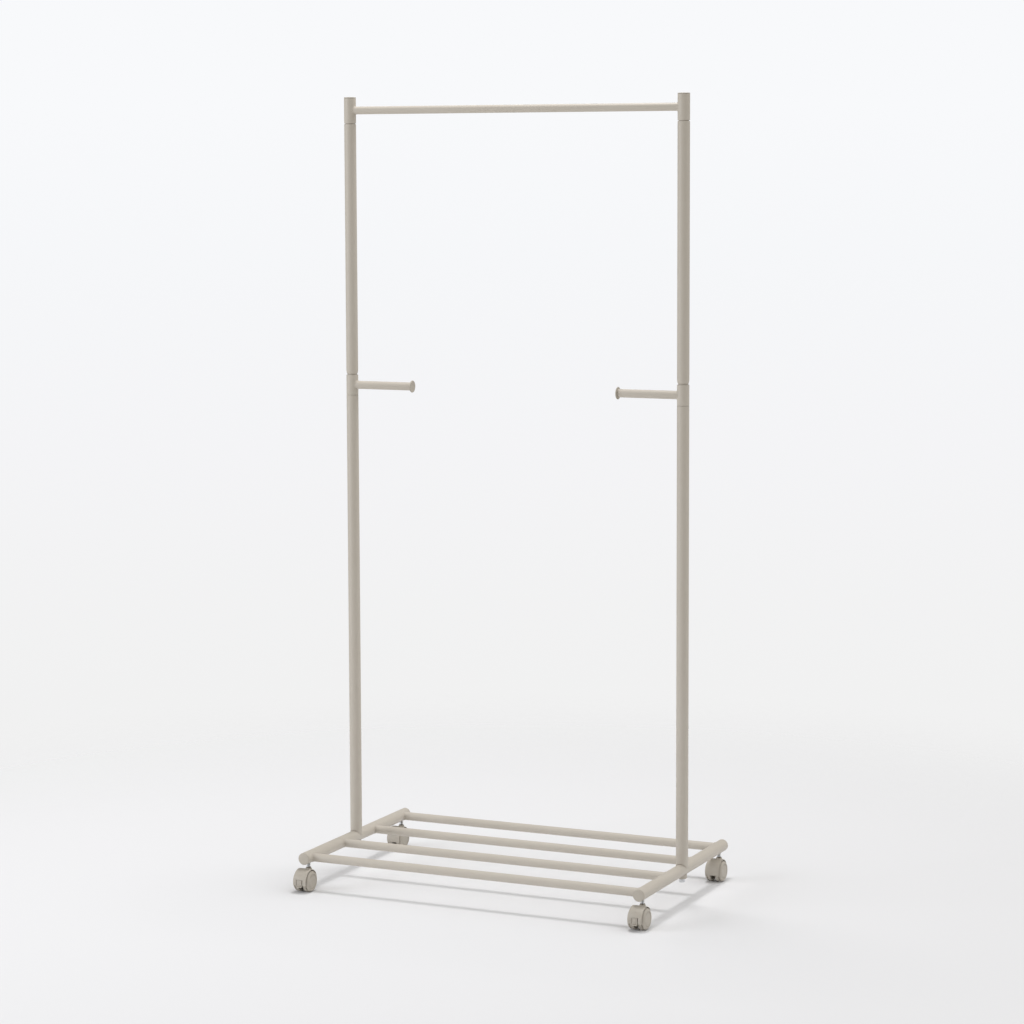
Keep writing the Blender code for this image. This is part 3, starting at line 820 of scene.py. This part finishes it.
HOOD_WALL = 0.0014
HOOD_RIM_EDGE = 0.0009
HOOD_SKIRT_Z = -0.0057           # the hood's lower edge at the front, from the axle
HOOD_SKIRT_TILT = radians(5)
HOOD_BEVEL = 0.00025
HOOD_HUB_R = 0.0070
WEB_HALF = 0.0049
STEM_BOSS_R = 0.0080
STEM_TIP_R = 0.0058
STEM_BORE_R = 0.0036
PEDAL_HALF = 0.0055
PEDAL_BEVEL = 0.00020
PEDAL_HUB_R = 0.0062
PEDAL_HUB_ROOM_R = 0.0071
PEDAL_ARM_HALF = 0.0019
PEDAL_ARM_ROOM = 0.0005
PEDAL_LIP = 0.0014               # how far the lip stands out from the tab
TAB_LOW = radians(-19.5)         # the pedal's tab, as angles above the axle's level
TAB_HIGH = radians(13.5)
WINDOW_GAP = 0.0014
DOT_ANGLE = radians(39)
DOT_R = 0.0014
BEYOND = 0.04                    # past the outside of any caster, for cutting tools


def about_axle(outline, sides=FINE):
    """A closed surface spun about the axle, which lies along X through the origin."""
    return spun("tool", outline, sides, ring=False, place=ALONG_X)


def sector(inner, outer, half, start, end, edge):
    """A curved slab round the axle at the front, between two angles above the level, outer edges rounded."""
    section = arc(outer - edge, half - edge, edge, 90, 0, 3) + arc(outer - edge, edge - half, edge, 0, -90, 3)
    section += [(inner, -half), (inner, half)]
    steps = 12
    points = []
    for step in range(steps + 1):
        angle = start + (end - start) * step / steps
        points += [Vector((x, -r * cos(angle), r * sin(angle))) for r, x in section]
    count = len(section)
    faces = [tuple(range(count)), tuple(range(len(points) - 1, len(points) - 1 - count, -1))]
    for step in range(steps):
        for i in range(count):
            j = (i + 1) % count
            a = step * count
            faces.append((a + i, a + j, a + count + j, a + count + i))
    return tidy_mesh("tool", points, faces)


def hood_mesh(hood_r, half, trail, boss_top, braked):
    """Fender over both treads, the web between the wheels and the stem's boss; the axle is at the origin."""
    at_stem = shift(0, trail)
    tip_edge = 0.0005
    taper = flowing([(STEM_TIP_R + 0.0001, boss_top - 0.0012), (STEM_TIP_R + 0.0009, boss_top - 0.0030),
                     (STEM_BOSS_R, boss_top - 0.0060)])
    boss_outline = ([(0, boss_top)] + arc(STEM_TIP_R - tip_edge, boss_top - tip_edge, tip_edge, 90, 0)
                    + taper + [(STEM_BOSS_R, 0), (0, 0)])
    steps = [("UNION", spun("tool", boss_outline, MEDIUM, ring=False), at_stem)]
    pocket_r = hood_r - HOOD_WALL
    corner = 0.0012
    pocket_outline = ([(0, BEYOND), (pocket_r, BEYOND)]
                      + arc(pocket_r - corner, WEB_HALF + corner, corner, 0, -90, 5) + [(0, WEB_HALF)])
    for turn in (ALONG_X, ALONG_MINUS_X):
        steps.append(("DIFFERENCE", spun("tool", pocket_outline, FINE, ring=False), turn))
    below = box_mesh((-0.05, -0.06, -0.06), (0.05, 0.06, 0))
    skirt_top = shift(0, 0, HOOD_SKIRT_Z + hood_r * sin(HOOD_SKIRT_TILT))
    steps.append(("DIFFERENCE", below, skirt_top @ Matrix.Rotation(HOOD_SKIRT_TILT, 4, "X")))
    hub = about_axle(rod_outline(HOOD_HUB_R, FIT - WEB_HALF, WEB_HALF - FIT, 0.0004), MEDIUM)
    steps.append(("UNION", hub, Matrix()))
    stem_bore = spun("tool", rod_outline(STEM_BORE_R, boss_top - 0.015, boss_top + 0.01), COARSE, ring=False)
    steps.append(("DIFFERENCE", stem_bore, at_stem))
    steps.append(("DIFFERENCE", about_axle(rod_outline(AXLE_BORE_R, -BEYOND, BEYOND), COARSE), Matrix()))
    if braked:
        steps += pedal_room(hood_r, pocket_r)
    return carved(about_axle(rod_outline(hood_r, -half, half, HOOD_RIM_EDGE)), steps, HOOD_BEVEL)


def pedal_room(hood_r, pocket_r):
    """Cuts for the pedal's tab, its arm and its hub, and a small round dimple above the tab."""
    window = sector(pocket_r - 0.0009, hood_r + 0.003, PEDAL_HALF + WINDOW_GAP,
                    radians(-60), TAB_HIGH + radians(1.0), 0.0006)
    arm_half = PEDAL_ARM_HALF + PEDAL_ARM_ROOM
    slot = box_mesh((-arm_half, -0.03, -0.03), (arm_half, 0, 0.0058))
    hub_room = about_axle(rod_outline(PEDAL_HUB_ROOM_R, -arm_half, arm_half, 0.0002), MEDIUM)
    dimple = spun("tool", [(0, DOT_R)] + arc(0, 0, DOT_R, 80, -80, 8) + [(0, -DOT_R)], 24, ring=False)
    dot_reach = hood_r + 0.0006
    at_dot = shift(0, -dot_reach * cos(DOT_ANGLE), dot_reach * sin(DOT_ANGLE))
    return [("DIFFERENCE", window, Matrix()), ("DIFFERENCE", slot, Matrix()),
            ("DIFFERENCE", hub_room, Matrix()), ("DIFFERENCE", dimple, at_dot)]


def pedal_mesh(outer, pocket_r, reach):
    """Brake pedal: a ribbed tab in the hood's window, with a lip to step on, on an arm about the axle."""
    edge = 0.0005
    tab = sector(pocket_r + 0.0004, outer, PEDAL_HALF, TAB_LOW, TAB_HIGH, edge)
    rib_half = PEDAL_HALF - 0.0012
    steps = []
    for degrees in (-6, 0, 6):
        angle = radians(degrees)
        rib = spun("tool", rod_outline(0.00045, -rib_half, rib_half, 0.0002), 16, ring=False, place=ALONG_X)
        steps.append(("UNION", rib, shift(0, -outer * cos(angle), outer * sin(angle))))
    lip_top = TAB_LOW + radians(5)
    lip_low = TAB_LOW + radians(0.4)
    lip = sector(outer - 0.0018, reach / cos(lip_top), PEDAL_HALF - 0.0006, lip_low, lip_top, edge)
    hub = about_axle(rod_outline(PEDAL_HUB_R, -PEDAL_ARM_HALF, PEDAL_ARM_HALF), MEDIUM)
    arm_half = PEDAL_ARM_HALF - 0.0001
    arm = box_mesh((-arm_half, -pocket_r - 0.0008, -0.0020), (arm_half, 0, 0.0050))
    bore = about_axle(rod_outline(AXLE_BORE_R, -BEYOND, BEYOND), COARSE)
    steps += [("UNION", lip, Matrix()), ("UNION", arm, Matrix()), ("UNION", hub, Matrix()),
              ("DIFFERENCE", bore, Matrix())]
    return carved(tab, steps, PEDAL_BEVEL)


def hoods_and_pedals():
    """The two casters at one end are alike, so they share their hood's shape, and their pedal's."""
    for end in ENDS:
        braked = end == BRAKED_END
        low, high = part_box(f"hood_{end}_left")
        axle = middle(f"axle_{end}_left")
        stem = middle(f"stem_{end}_left")
        hood_r = axle.y - low.y
        hood = hood_mesh(hood_r, (high.x - low.x) / 2, stem.y - axle.y, high.z - axle.z, braked)
        if braked:
            reach = axle.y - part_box(f"brake_pedal_{end}_left")[0].y
            pedal = pedal_mesh(reach - PEDAL_LIP, hood_r - HOOD_WALL, reach)
        for side in SIDES:
            place = shift(*middle(f"axle_{end}_{side}"))
            node = f"hood_{end}_{side}"
            mesh = hood.copy()
            mesh.transform(place)
            piece(f"fender_{end}_{side}", mesh, "caster_plastic", f"caster_{end}_{side}", node)
            if braked:
                node = f"brake_pedal_{end}_{side}"
                mesh = pedal.copy()
                mesh.transform(place)
                piece(f"brake_tab_{end}_{side}", mesh, "caster_plastic", node, node)


# ---- floor, light and camera ----
FLOOR_COLOUR = (0.817, 0.820, 0.835)
FLOOR_LIFT = 1.05                # the floor is lighter at its rim, where the overhead lamp gives less
FLOOR_SOLID = 0.8                # the floor is solid out to here, and has faded away at the next distance
FLOOR_GONE = 2.4


def floor():
    """A pale round floor whose far part fades into the plain backdrop, so no horizon shows."""
    rings = [0.6, 1.2, 1.8, 2.4, FLOOR_GONE + 0.1]
    sides = 64
    points = [(r * cos(tau * i / sides), r * sin(tau * i / sides), 0) for r in rings for i in range(sides)]
    points.append((0, 0, 0))
    faces = [(len(points) - 1, i, (i + 1) % sides) for i in range(sides)]
    for ring in range(len(rings) - 1):
        a = ring * sides
        for i in range(sides):
            j = (i + 1) % sides
            faces.append((a + i, a + sides + i, a + sides + j, a + j))
    mesh = bpy.data.meshes.new("floor")
    mesh.from_pydata(points, [], faces)
    mesh.materials.append(floor_material())
    obj = bpy.data.objects.new("floor", mesh)
    bpy.context.scene.collection.objects.link(obj)


def floor_material():
    """Matt and pale, lifted a little towards the rim, and clear from there on."""
    material = bpy.data.materials.new("floor_look")
    material.use_nodes = True
    tree = material.node_tree
    tree.nodes.clear()
    place = tree.nodes.new("ShaderNodeTexCoord")
    length = tree.nodes.new("ShaderNodeVectorMath")
    length.operation = "LENGTH"
    tree.links.new(place.outputs["Object"], length.inputs[0])
    fade = tree.nodes.new("ShaderNodeMapRange")
    fade.interpolation_type = "SMOOTHERSTEP"
    fade.inputs["From Min"].default_value = FLOOR_SOLID
    fade.inputs["From Max"].default_value = FLOOR_GONE
    tree.links.new(length.outputs["Value"], fade.inputs["Value"])
    spread = tree.nodes.new("ShaderNodeMapRange")
    spread.inputs["From Max"].default_value = FLOOR_GONE
    tree.links.new(length.outputs["Value"], spread.inputs["Value"])
    lift = tree.nodes.new("ShaderNodeMix")
    lift.data_type = "RGBA"
    lift.inputs[MIX_FIRST].default_value = (*FLOOR_COLOUR, 1)
    lift.inputs[MIX_SECOND].default_value = (*(c * FLOOR_LIFT for c in FLOOR_COLOUR), 1)
    tree.links.new(spread.outputs["Result"], lift.inputs["Factor"])
    matt = tree.nodes.new("ShaderNodeBsdfDiffuse")
    tree.links.new(lift.outputs[MIX_RESULT], matt.inputs["Color"])
    clear = tree.nodes.new("ShaderNodeBsdfTransparent")
    mix = tree.nodes.new("ShaderNodeMixShader")
    tree.links.new(fade.outputs["Result"], mix.inputs["Fac"])
    tree.links.new(matt.outputs["BSDF"], mix.inputs[1])
    tree.links.new(clear.outputs["BSDF"], mix.inputs[2])
    output = tree.nodes.new("ShaderNodeOutputMaterial")
    tree.links.new(mix.outputs["Shader"], output.inputs["Surface"])
    return material


BACKDROP = [                     # height of a direction, and the backdrop's tone there
    (-0.232, (0.863, 0.863, 0.863)),
    (-0.182, (0.880, 0.880, 0.880)),
    (-0.149, (0.888, 0.888, 0.892)),
    (-0.098, (0.905, 0.905, 0.921)),
    (-0.030, (0.921, 0.930, 0.948)),
    (0.019, (0.939, 0.947, 0.965)),
]
HORIZON = 0.06                   # the fill changes from the floor's to the sky's within this height of level
SKY_FILL = 0.27
FLOOR_FILL = 0.66
FILL_COLOUR = (1.0, 0.975, 0.925)
GLOW_STRENGTH = 0.95
GLOW_COLOUR = (0.985, 0.985, 0.985)
GLOW_DIRECTION = (0.52, 0.16, 0.83)
GLOW_EDGE = radians(65)          # the glow fades in between these angles from its direction
GLOW_CORE = radians(10)
OVERHEAD_PLACE = (-0.17, 0.50, 3.9)
OVERHEAD_TARGET = (0, 0, 0.4)
OVERHEAD_WIDTH = 0.8
OVERHEAD_WATTS = 46
OVERHEAD_COLOUR = (1.0, 0.99, 0.99)
PANEL_PLACE = (-4.5, -3.8, 2.1)
PANEL_TARGET = (0, 0, 0.7)
PANEL_WIDTH = 3.8
PANEL_HEIGHT = 3.2
PANEL_WATTS = 158
PANEL_COLOUR = (0.965, 0.985, 1.03)


def backdrop():
    """Plain pale surroundings: what the camera sees, and the soft light that the object gets from them."""
    world = bpy.data.worlds.new("backdrop")
    bpy.context.scene.world = world
    world.use_nodes = True
    tree = world.node_tree
    tree.nodes.clear()
    direction = tree.nodes.new("ShaderNodeTexCoord").outputs["Generated"]
    path = tree.nodes.new("ShaderNodeLightPath")
    mix = tree.nodes.new("ShaderNodeMixShader")
    tree.links.new(path.outputs["Is Camera Ray"], mix.inputs["Fac"])
    tree.links.new(surroundings(tree, direction), mix.inputs[1])
    tree.links.new(seen_backdrop(tree, direction), mix.inputs[2])
    output = tree.nodes.new("ShaderNodeOutputWorld")
    tree.links.new(mix.outputs["Shader"], output.inputs["Surface"])


def seen_backdrop(tree, direction):
    """A gentle gradient from top to bottom."""
    split = tree.nodes.new("ShaderNodeSeparateXYZ")
    tree.links.new(direction, split.inputs["Vector"])
    low = BACKDROP[0][0]
    high = BACKDROP[-1][0]
    height = tree.nodes.new("ShaderNodeMapRange")
    height.inputs["From Min"].default_value = low
    height.inputs["From Max"].default_value = high
    tree.links.new(split.outputs["Z"], height.inputs["Value"])
    ramp = tree.nodes.new("ShaderNodeValToRGB")
    stops = ramp.color_ramp.elements
    while len(stops) < len(BACKDROP):
        stops.new(0.5)
    for stop, (z, colour) in zip(stops, BACKDROP):
        stop.position = (z - low) / (high - low)
        stop.color = (*colour, 1)
    tree.links.new(height.outputs["Result"], ramp.inputs["Fac"])
    seen = tree.nodes.new("ShaderNodeBackground")
    tree.links.new(ramp.outputs["Color"], seen.inputs["Color"])
    return seen.outputs["Background"]


def surroundings(tree, direction):
    """Even fill from the room and from the floor beyond, and a broad glow from above, on the right."""
    split = tree.nodes.new("ShaderNodeSeparateXYZ")
    tree.links.new(direction, split.inputs["Vector"])
    level = tree.nodes.new("ShaderNodeMapRange")
    level.interpolation_type = "SMOOTHSTEP"
    level.inputs["From Min"].default_value = -HORIZON
    level.inputs["From Max"].default_value = HORIZON
    level.inputs["To Min"].default_value = FLOOR_FILL
    level.inputs["To Max"].default_value = SKY_FILL
    tree.links.new(split.outputs["Z"], level.inputs["Value"])
    fill = tree.nodes.new("ShaderNodeBackground")
    fill.inputs["Color"].default_value = (*FILL_COLOUR, 1)
    tree.links.new(level.outputs["Result"], fill.inputs["Strength"])
    facing = tree.nodes.new("ShaderNodeVectorMath")
    facing.operation = "DOT_PRODUCT"
    facing.inputs[1].default_value = Vector(GLOW_DIRECTION).normalized()
    tree.links.new(direction, facing.inputs[0])
    strength = tree.nodes.new("ShaderNodeMapRange")
    strength.interpolation_type = "SMOOTHSTEP"
    strength.inputs["From Min"].default_value = cos(GLOW_EDGE)
    strength.inputs["From Max"].default_value = cos(GLOW_CORE)
    strength.inputs["To Max"].default_value = GLOW_STRENGTH
    tree.links.new(facing.outputs["Value"], strength.inputs["Value"])
    glow = tree.nodes.new("ShaderNodeBackground")
    glow.inputs["Color"].default_value = (*GLOW_COLOUR, 1)
    tree.links.new(strength.outputs["Result"], glow.inputs["Strength"])
    both = tree.nodes.new("ShaderNodeAddShader")
    tree.links.new(fill.outputs["Background"], both.inputs[0])
    tree.links.new(glow.outputs["Background"], both.inputs[1])
    return both.outputs["Shader"]


def soft_light(name, place, target, watts, colour, width, height=None):
    """A lamp that the camera doesn't see: a rectangle, or a disc if it has no height."""
    data = bpy.data.lights.new(name, "AREA")
    data.shape = "RECTANGLE" if height else "DISK"
    data.size = width
    if height:
        data.size_y = height
    data.energy = watts
    data.color = colour
    light = bpy.data.objects.new(name, data)
    light.location = place
    light.rotation_mode = "QUATERNION"
    light.rotation_quaternion = (Vector(target) - Vector(place)).to_track_quat("-Z", "Y")
    light.visible_camera = False
    bpy.context.scene.collection.objects.link(light)


def lights():
    soft_light("overhead", OVERHEAD_PLACE, OVERHEAD_TARGET, OVERHEAD_WATTS, OVERHEAD_COLOUR, OVERHEAD_WIDTH)
    soft_light("left_panel", PANEL_PLACE, PANEL_TARGET, PANEL_WATTS, PANEL_COLOUR, PANEL_WIDTH, PANEL_HEIGHT)


CAMERA_PLACE = (2.5575, -5.5582, 1.5359)
CAMERA_YAW = radians(24.70)
CAMERA_PITCH = radians(5.656)
CAMERA_ROLL = radians(-0.192)
CAMERA_LENS = 102.7
CAMERA_SENSOR = 36
CAMERA_SHIFT = -0.0586
CAMERA_CLIP = 100


def camera():
    """The pitch is downwards, and the yaw is to the left of the rack's depth."""
    ahead = cos(CAMERA_PITCH)
    forward = Vector((-sin(CAMERA_YAW) * ahead, cos(CAMERA_YAW) * ahead, -sin(CAMERA_PITCH)))
    level = Vector((cos(CAMERA_YAW), sin(CAMERA_YAW), 0))
    above = level.cross(forward)
    right = level * cos(CAMERA_ROLL) + above * sin(CAMERA_ROLL)
    up = above * cos(CAMERA_ROLL) - level * sin(CAMERA_ROLL)
    data = bpy.data.cameras.new("camera")
    data.sensor_width = CAMERA_SENSOR
    data.lens = CAMERA_LENS
    data.shift_y = CAMERA_SHIFT
    data.clip_end = CAMERA_CLIP
    obj = bpy.data.objects.new("camera", data)
    turn = Matrix((right, up, -forward)).transposed().to_4x4()
    obj.matrix_world = Matrix.Translation(CAMERA_PLACE) @ turn
    bpy.context.scene.collection.objects.link(obj)
    bpy.context.scene.camera = obj


def build():
    dress_cad_nodes()
    side_rails()
    rail_caps()
    shelf_bars()
    hanging_rail()
    hook_arms()
    lower_posts()
    upper_posts()
    sleeves()
    post_caps()
    post_feet()
    stems()
    wheels()
    hoods_and_pedals()
    floor()
    backdrop()
    lights()
    camera()
    bpy.context.scene.view_settings.view_transform = "Standard"


build()
